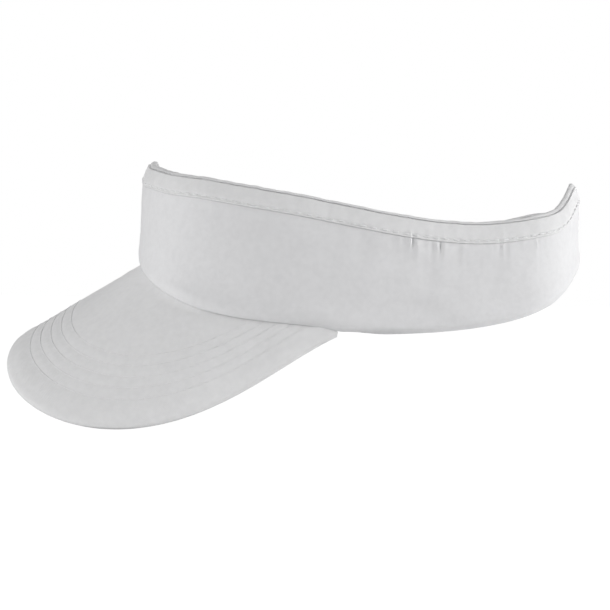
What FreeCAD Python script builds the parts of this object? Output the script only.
import FreeCAD, Part
import math
import os
import Sketcher

# Adjustable fabric sun visor: a saddle shaped head band, a curved bill and a
# hook-and-loop closure where the two ends of the band pass each other.
# Frame: +Z up, front (bill) towards -Y, wearer's left towards +X, origin in
# the middle of the head opening at the mean height of the band's lower edge.
# Places round the band are angles t: 0 at the front, positive to the wearer's
# left, pi at the back.

Vector = FreeCAD.Vector

SIZES = [
    # head band outline, seen from above
    ("band_half_width", 77.48), ("band_half_length", 97.52),
    ("front_widening", -0.0276), ("squareness", 0.0448),
    ("closure_radius", 82.5), ("closure_centre_y", 10.65),
    # heights of the top edge round the head
    ("top_0_deg", 60.2), ("top_12_deg", 56.4), ("top_24_deg", 53.0), ("top_36_deg", 49.6),
    ("top_48_deg", 47.2), ("top_60_deg", 44.2), ("top_72_deg", 41.0), ("top_84_deg", 37.1),
    ("top_96_deg", 33.7), ("top_108_deg", 32.8), ("top_120_deg", 35.4), ("top_132_deg", 39.0),
    ("top_144_deg", 41.6), ("top_156_deg", 43.6), ("top_168_deg", 44.6), ("top_180_deg", 45.0),
    # rounded shoulder in which the left-hand end rises before the closure
    ("shoulder_rise", 9.2),
    # lean of the wall, and how far the bound edge folds in above it
    ("wall_lean", 0.60), ("edge_lean", 2.9), ("edge_lean_front", 0.5), ("edge_lean_back", 2.3),
    # heights of the bottom edge behind the bill
    ("bottom_knee", -3.00), ("bottom_rise", 16.20), ("bottom_back", 21.68),
    # bill
    ("bill_seam_height", 15.95), ("bill_pitch_deg", 32.08),
    ("bill_curve_radius", 83.47), ("bill_curve_growth", 6.717),
    ("bill_end_deg", 81.00), ("bill_reach", 125.10),
    ("rim_side_power", 0.4633), ("rim_front_power", 0.7880), ("rim_fullness", 0.1274),
    ("stiffener_thickness", 1.6),
    # cloth
    ("twill_thickness", 0.70), ("lining_thickness", 1.00), ("ply_gap", 0.10),
    ("interlining_thickness", 1.10), ("binding_width", 8.2), ("binding_thickness", 0.50),
    ("thread_radius", 0.25), ("stitch_row_pitch", 4.6), ("stitch_rim_margin", 11.0),
    # joints of the band
    ("arm_gap", 1.30), ("arm_joint_deg", 95.53), ("overlap_step", 4.6),
    # closure, with angles from the back centre
    ("tab_height", 21.6), ("tab_bottom", 22.6), ("tab_root_deg", 0.6), ("tab_tip_deg", 27.0),
    ("tab_thickness", 1.80), ("tab_corner_radius", 7.0),
    ("pad_height", 11.8), ("pad_bottom", 23.9), ("pad_corner_radius", 2.0),
    ("pad_clearance", 0.05),
    ("hook_bottom", 25.2), ("hook_height", 9.2), ("hook_thickness", 1.00),
    ("hook_start_deg", 3.0), ("hook_end_deg", 22.0),
    ("loop_thickness", 0.90), ("loop_half_deg", 20.5),
    ("inner_tip_deg", 25.0),
    # closure radii, and angles from +X about the closure centre
    ("tab_inner_radius", "=closure_radius - tab_thickness"),
    ("hook_outer_radius", "=tab_inner_radius - pad_clearance"),
    ("hook_inner_radius", "=hook_outer_radius - hook_thickness"),
    ("loop_inner_radius", "=closure_radius - overlap_step + pad_clearance"),
    ("loop_outer_radius", "=loop_inner_radius + loop_thickness"),
    ("tab_start_angle", "=90 + tab_root_deg"), ("tab_end_angle", "=90 + tab_tip_deg"),
    ("hook_start_angle", "=90 + hook_start_deg"), ("hook_end_angle", "=90 + hook_end_deg"),
    ("loop_start_angle", "=90 - loop_half_deg"), ("loop_end_angle", "=90 + loop_half_deg"),
    # label inside the band, placed by its angle from the front
    ("label_length", 34.0), ("label_height", 14.0), ("label_thickness", 0.30),
    ("label_bottom", 8.0), ("label_deg", 78.0),
]

doc = FreeCAD.newDocument("sun_visor")
sheet = doc.addObject("Spreadsheet::Sheet", "Sizes")
for row_number, (alias, value) in enumerate(SIZES, start=1):
    sheet.set("A%d" % row_number, alias.replace("_", " "))
    sheet.set("B%d" % row_number, str(value))
    sheet.setAlias("B%d" % row_number, alias)
doc.recompute()


def size(alias):
    return float(sheet.get(alias))


HALF_WIDTH, HALF_LENGTH = size("band_half_width"), size("band_half_length")
WIDENING, SQUARENESS = size("front_widening"), size("squareness")
RING_RADIUS, RING_Y = size("closure_radius"), size("closure_centre_y")
BILL_DEG = size("bill_end_deg")
BILL_END = math.radians(BILL_DEG)
ARM_JOINT = math.radians(size("arm_joint_deg"))
TWILL, LINING, GAP = size("twill_thickness"), size("lining_thickness"), size("ply_gap")
INTERLINING = size("interlining_thickness")
BINDING_WIDTH, BINDING = size("binding_width"), size("binding_thickness")
THREAD = size("thread_radius")

# Blends round the band: degrees from the front where each starts and ends.
NARROWING = (164, 178)                      # shoulders down to the closure
SHOULDER = (126, 158)                       # rise of the left-hand end
LEFT_UPRIGHT = (154, 174)                   # wall loses its lean
RIGHT_UPRIGHT = (132, 152)
EDGE_TO_BACK = (112, 146)                   # bound edge takes its back lean
EDGE_UPRIGHT = (166, 178)                   # bound edge loses its lean
STEP_IN = (104, 140)                        # right-hand end moves inwards
THINNING = (97, 123)                        # band thins behind the interlining
SLANT_FADE = (BILL_DEG, BILL_DEG + 14)      # slant of the bottom edge fades
HANG_FADE = (BILL_DEG - 19, BILL_DEG - 3)   # hanging lining shortens
RING_BLEND = (32, 74)                       # from the back, about the closure centre

END_MARGIN = 0.4         # band end beyond the tab, above and below
LINING_HANG = 4.8        # lining below the seam in front
OUTER_RISE = 0.35        # lower edges of the plies above the band's bottom edge
LINING_RISE = 0.15
INTERLINING_RISE = 1.2
INTERLINING_TOP_GAP = 2.4
PLY_TOP_GAP = BINDING + 0.55
INTERLINING_END = 0.03   # interlining short of the front band's ends, radians
STITCH_LIFT = 0.06       # thread clear of the cloth
DIFFERENCE_STEP = 1e-4   # radians


# ------------------------------------------------------- band geometry ----
def smooth(x):
    x = max(0.0, min(1.0, x))
    return x * x * x * (x * (6.0 * x - 15.0) + 10.0)


def blend(angle, span):
    """Smooth rise from 0 to 1 across a span given in degrees."""
    start, end = span
    return smooth((angle - math.radians(start)) / math.radians(end - start))


def steps(start, end, count):
    return [start + (end - start) * i / float(count - 1) for i in range(count)]


def outline(t):
    """Outer face of the band at angle t."""
    x = HALF_WIDTH * (math.sin(t) + SQUARENESS * math.sin(3 * t)) * (1 - WIDENING * math.cos(t))
    y = -HALF_LENGTH * (math.cos(t) - SQUARENESS * math.cos(3 * t))
    if y > RING_Y:
        # the back runs into a true arc, so that the two ends slide past each other
        angle = math.atan2(x, y - RING_Y)
        radius = math.hypot(x, y - RING_Y)
        radius += (1 - blend(abs(angle), RING_BLEND)) * (RING_RADIUS - radius)
        x, y = radius * math.sin(angle), RING_Y + radius * math.cos(angle)
    return x, y


def tangent(t):
    """Rate of travel along the outline, per radian."""
    xa, ya = outline(t - DIFFERENCE_STEP)
    xb, yb = outline(t + DIFFERENCE_STEP)
    return (xb - xa) / (2 * DIFFERENCE_STEP), (yb - ya) / (2 * DIFFERENCE_STEP)


def offset_point(t, inward):
    x, y = outline(t)
    along_x, along_y = tangent(t)
    speed = math.hypot(along_x, along_y)
    # the inward normal lies to the left of the direction of travel
    return x - along_y / speed * inward, y + along_x / speed * inward


def bill_height(x, y):
    """Upper face of the bill: a bent sheet falling away to the front."""
    forward = -(y + HALF_LENGTH * (1 - SQUARENESS))
    pitch = math.radians(size("bill_pitch_deg"))
    radius = size("bill_curve_radius") + size("bill_curve_growth") * forward / 60.0
    x = max(-radius * 0.999, min(radius * 0.999, x))
    sag = (radius - math.sqrt(radius * radius - x * x)) / math.cos(pitch)
    return size("bill_seam_height") - math.tan(pitch) * forward - sag


def make_spline(xs, ys, level_start=False):
    """Cubic spline, level at the last knot and free or level at the first."""
    n = len(xs)
    a, b, c, d = [0.0] * n, [1.0] * n, [0.0] * n, [0.0] * n
    if level_start:
        h = xs[1] - xs[0]
        b[0], c[0] = 2 * h, h
        d[0] = 6 * (ys[1] - ys[0]) / h
    for i in range(1, n - 1):
        h0, h1 = xs[i] - xs[i - 1], xs[i + 1] - xs[i]
        a[i], b[i], c[i] = h0, 2 * (h0 + h1), h1
        d[i] = 6 * ((ys[i + 1] - ys[i]) / h1 - (ys[i] - ys[i - 1]) / h0)
    h = xs[-1] - xs[-2]
    a[-1], b[-1] = h, 2 * h
    d[-1] = 6 * (0.0 - (ys[-1] - ys[-2]) / h)
    # tridiagonal solution for the second derivatives
    for i in range(1, n):
        factor = a[i] / b[i - 1]
        b[i] -= factor * c[i - 1]
        d[i] -= factor * d[i - 1]
    bend = [0.0] * n
    bend[-1] = d[-1] / b[-1]
    for i in range(n - 2, -1, -1):
        bend[i] = (d[i] - c[i] * bend[i + 1]) / b[i]

    def spline(x):
        x = min(max(x, xs[0]), xs[-1])
        i = 0
        while i < n - 2 and x > xs[i + 1]:
            i += 1
        h = xs[i + 1] - xs[i]
        p, q = (xs[i + 1] - x) / h, (x - xs[i]) / h
        cubic = (p ** 3 - p) * bend[i] + (q ** 3 - q) * bend[i + 1]
        return p * ys[i] + q * ys[i + 1] + cubic * h * h / 6.0
    return spline


CORNER_HEIGHT = bill_height(*outline(BILL_END))
bottom_spline = make_spline(
    [BILL_END + share * (math.pi - BILL_END) for share in (0.0, 0.35, 0.7, 1.0)],
    [CORNER_HEIGHT, size("bottom_knee"), size("bottom_rise"), size("bottom_back")])
TOP_DEGREES = range(0, 181, 12)
top_spline = make_spline([math.radians(k) for k in TOP_DEGREES],
                         [size("top_%d_deg" % k) for k in TOP_DEGREES], level_start=True)


def bottom(t, inward):
    """Lower edge before narrowing; over the bill it rests on the bill's upper face."""
    t = abs(t)
    if t <= BILL_END:
        return bill_height(*offset_point(t, inward))
    # the slant of the edge over the bill fades out behind the bill's corner
    slant = 0.0
    if inward:
        corner = bill_height(*offset_point(BILL_END, inward))
        slant = (corner - CORNER_HEIGHT) * (1 - blend(t, SLANT_FADE))
    return slant + bottom_spline(t)


def low(t, inward=0.0):
    """Lower edge of the band."""
    narrow = blend(abs(t), NARROWING)
    return bottom(t, inward) * (1 - narrow) + (size("tab_bottom") - END_MARGIN) * narrow


def top(t):
    """Upper edge of the band."""
    away = min(abs(t), math.pi)
    z = top_spline(away)
    if t > 0:
        z += size("shoulder_rise") * blend(away, SHOULDER)
    narrow = blend(away, NARROWING)
    return z * (1 - narrow) + (size("tab_bottom") + size("tab_height") + END_MARGIN) * narrow


def lean(t, z):
    """The wall leans in slightly, its bound edge more; the closure stands upright."""
    z_low, z_fold, z_top = low(t), top(t) - BINDING_WIDTH, top(t)
    # the right-hand end stands upright sooner, where the loop pad is sewn on
    upright_span = LEFT_UPRIGHT if t > 0 else RIGHT_UPRIGHT
    t = min(abs(t), math.pi)
    wall = size("wall_lean") * (1 - blend(t, upright_span))
    back = blend(t, EDGE_TO_BACK)
    edge = (size("edge_lean") + size("edge_lean_front") * math.cos(t)) * (1 - back)
    edge += size("edge_lean_back") * back
    edge *= 1 - blend(t, EDGE_UPRIGHT)
    up_wall = max(0.0, min(1.0, (z - z_low) / (z_fold - z_low)))
    return wall * up_wall + edge * max(0.0, (z - z_fold) / (z_top - z_fold))


def step_in(t):
    """The right-hand end of the band runs inside the left-hand end."""
    return size("overlap_step") * blend(-t, STEP_IN)


def lining_face(t):
    """Depth of the lining; the band is thinner where the interlining has stopped."""
    full = TWILL + GAP + INTERLINING + GAP
    return full + blend(abs(t), THINNING) * (TWILL + GAP - full)


def lining_back(t):
    return lining_face(t) + LINING


def hang(t):
    """How far the lining hangs below the seam; it hides the bill's root in front."""
    return LINING_HANG * (1 - blend(abs(t), HANG_FADE))


def band_point(t, inward, z):
    x, y = offset_point(t, inward + step_in(t) + lean(t, z))
    return Vector(x, y, z)


# ---------------------------------------------------------- shape builders --
def curve(points):
    spline = Part.BSplineCurve()
    spline.interpolate(points)
    return spline.toShape()


def closed_solid(faces):
    shell = Part.makeShell(faces)
    shell.sewShape()
    if shell.ShapeType != "Shell":
        shell = shell.Shells[0]
    solid = Part.makeSolid(shell)
    if solid.Volume < 0:
        solid.reverse()
    return solid


def strip_solid(section, stations):
    """Sweep a closed section, given as a function of t, along the band."""
    rows = [section(t) for t in stations]
    n = len(rows[0])
    edges = [curve([row[k] for row in rows]) for k in range(n)]
    faces = [Part.makeRuledSurface(edges[k], edges[(k + 1) % n]) for k in range(n)]
    for row in (rows[0], rows[-1]):
        faces.append(Part.Face(Part.makePolygon(row + [row[0]])))
    return closed_solid(faces)


def sheet_solid(upper_grid, lower_grid):
    """Solid between two surfaces, closed by ruled faces round their borders."""
    faces, borders = [], []
    for grid in (upper_grid, lower_grid):
        surface = Part.BSplineSurface()
        surface.interpolate(grid)
        faces.append(surface.toShape())
        u0, u1, v0, v1 = surface.bounds()
        borders.append((surface.uIso(u0), surface.uIso(u1), surface.vIso(v0), surface.vIso(v1)))
    for upper, lower in zip(*borders):
        faces.append(Part.makeRuledSurface(upper.toShape(), lower.toShape()))
    return closed_solid(faces)


def thread(points):
    path = Part.Wire([curve(points)])
    ring = Part.Wire([Part.makeCircle(THREAD, points[0], points[1] - points[0])])
    return path.makePipeShell([ring], True, False)


PARTS = []


def add_feature(label, shape):
    feature = doc.addObject("Part::Feature", label)
    feature.Shape = shape
    PARTS.append(feature)


# ------------------------------------------------------------- head band ----
def ply_section(t, outer, inner, rise, top_gap):
    """Section of one ply: outer face up, inner face down."""
    z_fold, z_top = top(t) - BINDING_WIDTH, top(t) - top_gap

    def face(inward):
        # one corner lies at the fold below the binding
        z_low = low(t, inward) + rise
        levels = [z_low + (z_fold - z_low) * k / 3.0 for k in range(4)]
        levels += [0.5 * (z_fold + z_top), z_top]
        return [band_point(t, inward, z) for z in levels]
    return face(outer) + face(inner)[::-1]


def outer_section(t):
    return ply_section(t, 0.0, TWILL, OUTER_RISE, PLY_TOP_GAP)


def sweatband_section(t):
    return ply_section(t, lining_face(t), lining_back(t), LINING_RISE - hang(t), PLY_TOP_GAP)


def interlining_section(t):
    face = TWILL + GAP
    return ply_section(t, face, face + INTERLINING, INTERLINING_RISE, INTERLINING_TOP_GAP)


def binding_section(t):
    """Tape folded over the top edge of the band."""
    crown_depth, crown_height = 0.9, 1.2
    outer, outer_back = -BINDING - GAP, -GAP
    inner_back = lining_back(t) + GAP
    inner = inner_back + BINDING
    z_top, z_low = top(t), top(t) - BINDING_WIDTH
    z_under = z_top - BINDING - 0.4
    corners = [
        (outer_back, z_low), (outer, z_low),
        (outer, z_top - crown_height), (outer + crown_depth, z_top),
        (inner - crown_depth, z_top), (inner, z_top - crown_height),
        (inner, z_low), (inner_back, z_low),
        (inner_back, z_under), (outer_back, z_under)]
    return [band_point(t, inward, z) for inward, z in corners]


def binding_stitching(stations):
    """One row on each side of the band, near the binding's lower edge."""
    edge_margin = 1.0
    lift = GAP + BINDING + THREAD + STITCH_LIFT

    def row(depth):
        return thread([band_point(t, depth(t), top(t) - BINDING_WIDTH + edge_margin)
                       for t in stations])
    return Part.makeCompound([row(lambda t: -lift), row(lambda t: lining_back(t) + lift)])


def angle_at_ring(degrees):
    """Angle t on the left where the closure arc is this far from the back centre."""
    target = math.radians(degrees)
    near, far = math.radians(110), math.pi
    for _ in range(60):
        middle = 0.5 * (near + far)
        x, y = outline(middle)
        if math.atan2(x, y - RING_Y) > target:
            near = middle
        else:
            far = middle
    return 0.5 * (near + far)


# The gaps between front band and arms are measured along the band.
half_gap = 0.5 * size("arm_gap") / math.hypot(*tangent(ARM_JOINT))
FRONT_END = ARM_JOINT - half_gap
ARM_START = ARM_JOINT + half_gap
LEFT_END = angle_at_ring(size("tab_root_deg"))
# the right-hand end runs on past the back, to the wearer's left
RIGHT_END = angle_at_ring(size("inner_tip_deg")) - 2 * math.pi

BAND_SPANS = (
    ("front", steps(-FRONT_END, FRONT_END, 49)),
    ("left", steps(ARM_START, LEFT_END, 19)),
    ("right", steps(-ARM_START, RIGHT_END, 25)),
)
for side, stations in BAND_SPANS:
    add_feature("band_outer_" + side, strip_solid(outer_section, stations))
    add_feature("sweatband_" + side, strip_solid(sweatband_section, stations))
    add_feature("top_binding_" + side, strip_solid(binding_section, stations))
    add_feature("binding_stitching_" + side, binding_stitching(stations))

# stiff interlining between the two plies of the front band
interlining_end = FRONT_END - INTERLINING_END
add_feature("band_interlining",
            strip_solid(interlining_section, steps(-interlining_end, interlining_end, 45)))


# ------------------------------------------------------------------ bill ----
# u runs along the bill from -1 (right corner) to 1 (left corner),
# v from 0 (seam under the band) to 1 (rim).
RIM_SAMPLES = 721
RIM_INTERVALS = 240
RIM_SMOOTHING_PASSES = 30
RIM_CROWDING = 1.7       # power that crowds the samples towards the middle
ROOT_INWARD = TWILL + GAP + INTERLINING - 0.1
ROOT_CUTBACK = 0.92      # root cut back per depth, square to the bill's face
GATHER_START = 0.86      # share of the layer's depth where the cloths close up
STACK = 2 * TWILL + 2 * GAP + size("stiffener_thickness")


def raw_rim_point(u):
    """Plan position of the rim as drawn by powers."""
    x_corner, y_corner = outline(BILL_END)
    w = u * math.pi / 2
    fullness = 1 + size("rim_fullness") * math.sin(2 * abs(w))
    x = x_corner * math.copysign(abs(math.sin(w)) ** size("rim_side_power"), u) * fullness
    y = y_corner - size("bill_reach") * abs(math.cos(w)) ** size("rim_front_power")
    return x, y


def between(p, q, share):
    return p[0] + share * (q[0] - p[0]), p[1] + share * (q[1] - p[1])


def rim_curve():
    """The rim as evenly spaced points, then smoothed."""
    raw = [raw_rim_point(math.copysign(abs(q) ** RIM_CROWDING, q))
           for q in steps(-1.0, 1.0, RIM_SAMPLES)]
    length = [0.0]
    for p, q in zip(raw, raw[1:]):
        length.append(length[-1] + math.hypot(q[0] - p[0], q[1] - p[1]))
    even, j = [], 0
    for k in range(RIM_INTERVALS + 1):
        target = length[-1] * k / RIM_INTERVALS
        while j < RIM_SAMPLES - 2 and length[j + 1] < target:
            j += 1
        share = (target - length[j]) / max(1e-9, length[j + 1] - length[j])
        even.append(between(raw[j], raw[j + 1], share))
    for _ in range(RIM_SMOOTHING_PASSES):
        inner = [((a[0] + 2 * b[0] + c[0]) / 4, (a[1] + 2 * b[1] + c[1]) / 4)
                 for a, b, c in zip(even, even[1:], even[2:])]
        even = [even[0]] + inner + [even[-1]]
    return even


RIM = rim_curve()


def rim_at(u):
    place = (u + 1) / 2 * (len(RIM) - 1)
    i = min(len(RIM) - 2, max(0, int(place)))
    return between(RIM[i], RIM[i + 1], place - i)


def bill_point(x, y, depth):
    """Point at this depth below the bill's upper face, along its normal."""
    d = 0.05
    slope_x = (bill_height(x + d, y) - bill_height(x - d, y)) / (2 * d)
    slope_y = (bill_height(x, y + d) - bill_height(x, y - d)) / (2 * d)
    n = math.sqrt(slope_x * slope_x + slope_y * slope_y + 1)
    return Vector(x + depth * slope_x / n, y + depth * slope_y / n,
                  bill_height(x, y) - depth / n)


def bill_layer(upper, lower, u_end, v_span=(0, 1), gather=0.0):
    """Layer between two depths; its rim moves down by the gather."""
    v_start, v_end = v_span

    def grid(depth):
        rows = []
        for u in steps(-u_end, u_end, 41):
            seam = offset_point(u * BILL_END, ROOT_INWARD - ROOT_CUTBACK * depth)
            row = []
            for share in steps(0.0, 1.0, 9):
                x, y = between(seam, rim_at(u), v_start + (v_end - v_start) * share)
                closing = smooth((share - GATHER_START) / (1 - GATHER_START))
                row.append(bill_point(x, y, depth + closing * gather))
            rows.append(row)
        return rows
    return sheet_solid(grid(upper), grid(lower))


def bill_topstitching():
    """Rows that follow the rim, on both faces of the bill."""
    lift = THREAD + 0.08
    shortest_run = 2.2       # rows stop this close to the seam
    rows = []
    for k in range(5):
        inset = size("stitch_rim_margin") + k * size("stitch_row_pitch")
        u_end = 0.93 - 0.012 * k
        places = []
        for u in steps(-u_end, u_end, 61):
            seam, rim = offset_point(u * BILL_END, 0.0), rim_at(u)
            span = math.hypot(rim[0] - seam[0], rim[1] - seam[1])
            slope = (bill_height(*seam) - bill_height(*rim)) / max(span, 1.0)
            run = inset / math.sqrt(1 + slope * slope)
            if span - run >= shortest_run:
                places.append(between(seam, rim, 1 - run / span))
        # every second place, and always the last
        places = places[::2] + ([places[-1]] if len(places) % 2 == 0 else [])
        for depth in (-lift, STACK + lift):
            rows.append(thread([bill_point(x, y, depth) for x, y in places]))
    return Part.makeCompound(rows)


rim_gather = STACK / 2 - GAP / 2 - TWILL
stiffener_top = TWILL + GAP
add_feature("bill_top_fabric", bill_layer(0.0, TWILL, u_end=0.985, gather=rim_gather))
add_feature("bill_under_fabric",
            bill_layer(STACK - TWILL, STACK, u_end=0.955, gather=-rim_gather))
add_feature("bill_stiffener",
            bill_layer(stiffener_top, stiffener_top + size("stiffener_thickness"),
                       u_end=0.925, v_span=(0.03, 0.84)))
add_feature("bill_topstitching", bill_topstitching())


# ---------------------------------------------------- inside of the band ----
def sweatband_stitching():
    """Lockstitch that closes the lower edge of the lining over the bill's root."""
    overrun = 0.12           # radians beyond the bill's corners
    edge_depth = 3.0         # depth in the band at which the lower edge is taken
    edge_margin = 2.2
    return thread([band_point(t, lining_back(t) + THREAD + STITCH_LIFT,
                              low(t, edge_depth) + edge_margin - hang(t))
                   for t in steps(-BILL_END - overrun, BILL_END + overrun, 41)])


def label_section(t):
    outer = lining_back(t) + GAP
    inner = outer + size("label_thickness")
    z_low = size("label_bottom")
    z_top = z_low + size("label_height")
    corners = [(outer, z_low), (outer, z_top), (inner, z_top), (inner, z_low)]
    return [band_point(t, inward, z) for inward, z in corners]


add_feature("sweatband_stitching", sweatband_stitching())

# blank label sewn flat inside the band on the right-hand side
label_centre = -math.radians(size("label_deg"))
label_half = 0.5 * size("label_length") / HALF_LENGTH
add_feature("care_label",
            strip_solid(label_section,
                        steps(label_centre - label_half, label_centre + label_half, 9)))


# --------------------------------------------------------------- closure ----
def ring_point(radius, angle, z=0.0):
    """Point about the closure axis, its angle in radians from +X."""
    return Vector(radius * math.cos(angle), RING_Y + radius * math.sin(angle), z)


def arc_body(label, outer, inner, start, end, z_low, height, corner,
             rounded_ends=("start", "end")):
    """Piece of a ring about the closure axis; its sizes are given as aliases."""
    body = doc.addObject("PartDesign::Body", label)
    sketch = body.newObject("Sketcher::SketchObject", label + "_outline")
    plane = next(f for f in body.Origin.OriginFeatures if f.Role == "XY_Plane")
    sketch.AttachmentSupport = (plane, [""])
    sketch.MapMode = "FlatFace"
    sketch.setExpression("AttachmentOffset.Base.z", "Sizes." + z_low)

    r_outer, r_inner = size(outer), size(inner)
    angles = {"start": math.radians(size(start)), "end": math.radians(size(end))}
    for radius in (r_outer, r_inner):
        circle = Part.Circle(Vector(0, RING_Y, 0), Vector(0, 0, 1), radius)
        sketch.addGeometry(Part.ArcOfCircle(circle, angles["start"], angles["end"]), False)
    for angle in angles.values():
        sketch.addGeometry(Part.LineSegment(ring_point(r_inner, angle),
                                            ring_point(r_outer, angle)), False)
    # geometry: 0 outer arc, 1 inner arc, 2 start line, 3 end line
    for constraint in (("Coincident", 2, 2, 0, 1), ("Coincident", 2, 1, 1, 1),
                       ("Coincident", 3, 2, 0, 2), ("Coincident", 3, 1, 1, 2),
                       ("Coincident", 0, 3, 1, 3), ("PointOnObject", 0, 3, -2),
                       ("PointOnObject", 0, 3, 2), ("PointOnObject", 0, 3, 3)):
        sketch.addConstraint(Sketcher.Constraint(*constraint))
    dimensions = (
        ("centre", ("DistanceY", -1, 1, 0, 3, RING_Y), "Sizes.closure_centre_y"),
        ("outer", ("Radius", 0, r_outer), "Sizes." + outer),
        ("inner", ("Radius", 1, r_inner), "Sizes." + inner),
        ("start", ("Angle", 2, angles["start"]), "Sizes.%s * 1 deg" % start),
        ("end", ("Angle", 3, angles["end"]), "Sizes.%s * 1 deg" % end))
    for name, constraint, _ in dimensions:
        index = sketch.addConstraint(Sketcher.Constraint(*constraint))
        sketch.renameConstraint(index, name)
    for name, _, expression in dimensions:
        sketch.setExpression("Constraints." + name, expression)

    pad = body.newObject("PartDesign::Pad", label + "_pad")
    pad.Profile = (sketch, [""])
    pad.setExpression("Length", "Sizes." + height)
    doc.recompute()
    body.Tip = pad

    # round the short radial edges at the chosen ends
    corner_edges = []
    for k, edge in enumerate(pad.Shape.Edges, start=1):
        a, b = edge.Vertexes[0].Point, edge.Vertexes[-1].Point
        if abs(a.z - b.z) > 0.01 or edge.Length > 1.5 * (r_outer - r_inner):
            continue
        middle = (a + b) * 0.5
        angle = math.atan2(middle.y - RING_Y, middle.x)
        if any(abs(angle - angles[name]) < 0.002 for name in rounded_ends):
            corner_edges.append("Edge%d" % k)
    fillet = body.newObject("PartDesign::Fillet", label + "_corners")
    fillet.Base = (pad, corner_edges)
    fillet.setExpression("Radius", "Sizes." + corner)
    body.Tip = fillet
    doc.recompute()
    PARTS.append(body)


arc_body("closure_tab", "closure_radius", "tab_inner_radius",
         "tab_start_angle", "tab_end_angle",
         "tab_bottom", "tab_height", "tab_corner_radius", rounded_ends=("end",))
arc_body("hook_pad", "hook_outer_radius", "hook_inner_radius",
         "hook_start_angle", "hook_end_angle",
         "hook_bottom", "hook_height", "pad_corner_radius")
arc_body("loop_pad", "loop_outer_radius", "loop_inner_radius",
         "loop_start_angle", "loop_end_angle",
         "pad_bottom", "pad_height", "pad_corner_radius")


def ring_thread(radius, start, end, z):
    """Level row, between angles in degrees from the back centre."""
    return thread([ring_point(radius, math.radians(90 + a), z) for a in steps(start, end, 13)])


def upright_thread(radius, degrees, z_low, z_top):
    return Part.makeCylinder(THREAD, z_top - z_low,
                             ring_point(radius, math.radians(90 + degrees), z_low),
                             Vector(0, 0, 1))


def tab_stitching():
    """Box that holds the hook pad on the tab, and the row at the tab's top edge."""
    box_margin, box_margin_deg, corner_gap = 1.2, 0.9, 0.5
    edge_margin, edge_start_deg, edge_tip_deg = 1.6, 1.2, 5.5
    radius = RING_RADIUS + THREAD + STITCH_LIFT
    z_low = size("pad_bottom") + box_margin
    z_top = size("pad_bottom") + size("pad_height") - box_margin
    start = size("hook_start_deg") + box_margin_deg
    end = size("hook_end_deg") - box_margin_deg
    rows = [ring_thread(radius, start, end, z) for z in (z_low, z_top)]
    rows += [upright_thread(radius, a, z_low + corner_gap, z_top - corner_gap)
             for a in (start, end)]
    rows.append(ring_thread(radius, edge_start_deg, size("tab_tip_deg") - edge_tip_deg,
                            size("tab_bottom") + size("tab_height") - edge_margin))
    return Part.makeCompound(rows)


def loop_pad_stitching():
    """A row along the bottom and the top of the loop pad."""
    margin, end_margin_deg = 0.65, 2.0
    radius = size("loop_outer_radius") + THREAD + STITCH_LIFT
    end = size("loop_half_deg") - end_margin_deg
    z_low, z_top = size("pad_bottom"), size("pad_bottom") + size("pad_height")
    return Part.makeCompound([ring_thread(radius, -end, end, z)
                              for z in (z_low + margin, z_top - margin)])


add_feature("tab_stitching", tab_stitching())
add_feature("loop_pad_stitching", loop_pad_stitching())

# ---------------------------------------------------------------- output ----
doc.recompute()
bad = []
for obj in doc.Objects:
    if any(word in ("Invalid", "Error") for word in obj.State):
        bad.append("%s is %s" % (obj.Name, obj.State))
for part in PARTS:
    shape = part.Shape
    if shape.isNull() or not shape.isValid() or not shape.Solids:
        bad.append("%s has no valid solid" % part.Label)
    elif any(solid.Volume <= 0 for solid in shape.Solids):
        bad.append("%s has an inside-out solid" % part.Label)
if bad:
    raise RuntimeError("; ".join(bad))

os.makedirs("parts", exist_ok=True)
for part in PARTS:
    part.Shape.exportStep("parts/%s.step" % part.Label)
